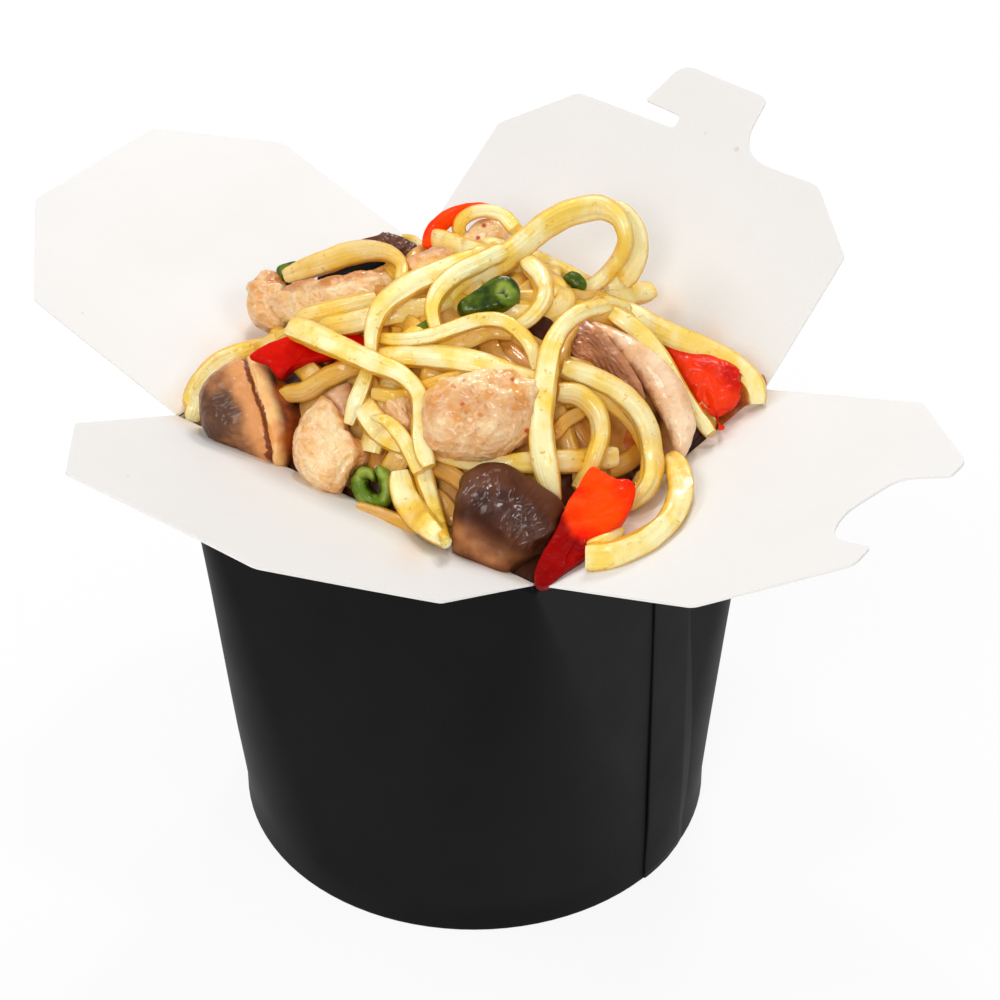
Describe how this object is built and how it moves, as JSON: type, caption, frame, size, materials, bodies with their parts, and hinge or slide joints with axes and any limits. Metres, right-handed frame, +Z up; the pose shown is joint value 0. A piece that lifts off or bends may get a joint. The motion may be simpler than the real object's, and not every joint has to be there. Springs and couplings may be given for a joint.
{
  "type": "noodle takeaway box",
  "caption": "Tall round-footed board box with four hinged lid flaps, open and heaped with noodles, chicken, mushroom, pepper and green bean.",
  "frame": {"origin": "middle of the round foot, on the table", "axes": "+Z up out of the mouth, +X along the mouth's long sides towards the flap with the slot, +Y towards the flap with the tab"},
  "size_m": [0.2258, 0.2033, 0.1489],
  "materials": {
    "board_black": "satin",
    "board_white": "satin",
    "noodle": "oiled",
    "chicken": "glazed",
    "mushroom": "glazed",
    "pepper": "gloss",
    "bean": "gloss",
    "onion": "glazed"
  },
  "bodies": {
    "box": {"wall": "board_black", "base": "board_black", "noodles": "noodle", "pepper_front": "pepper", "mushroom_front": "mushroom", "bean_front": "bean", "chicken_front": "chicken", "mushroom_left": "mushroom", "chicken_middle": "chicken", "chicken_left": "chicken", "mushroom_right": "mushroom", "pepper_right": "pepper", "pepper_left": "pepper", "bean_middle": "bean", "chicken_back": "chicken", "pepper_back": "pepper", "mushroom_back": "mushroom", "chicken_rear": "chicken", "chicken_small": "chicken", "onion_right": "onion", "onion_edge": "onion", "onion_left": "onion", "bean_back": "bean", "bean_left": "bean", "bean_under": "bean"},
    "lid_left": {"flap_left": "board_white"},
    "lid_front": {"flap_front": "board_white"},
    "lid_back": {"flap_back": "board_white"},
    "lid_right": {"flap_right": "board_white"}
  },
  "joints": [
    {"name": "fold_left", "type": "hinge", "parent": "box", "child": "lid_left", "pos_m": [-0.05, 0, 0.1105], "axis": [0, 1, 0], "range_deg": [-96, 12]},
    {"name": "fold_front", "type": "hinge", "parent": "box", "child": "lid_front", "pos_m": [0, -0.044, 0.1105], "axis": [-1, 0, 0], "range_deg": [-99, 0]},
    {"name": "fold_back", "type": "hinge", "parent": "box", "child": "lid_back", "pos_m": [0, 0.044, 0.1105], "axis": [1, 0, 0], "range_deg": [-104, 4]},
    {"name": "fold_right", "type": "hinge", "parent": "box", "child": "lid_right", "pos_m": [0.05, 0, 0.1105], "axis": [0, -1, 0], "range_deg": [-96, 0]}
  ]
}
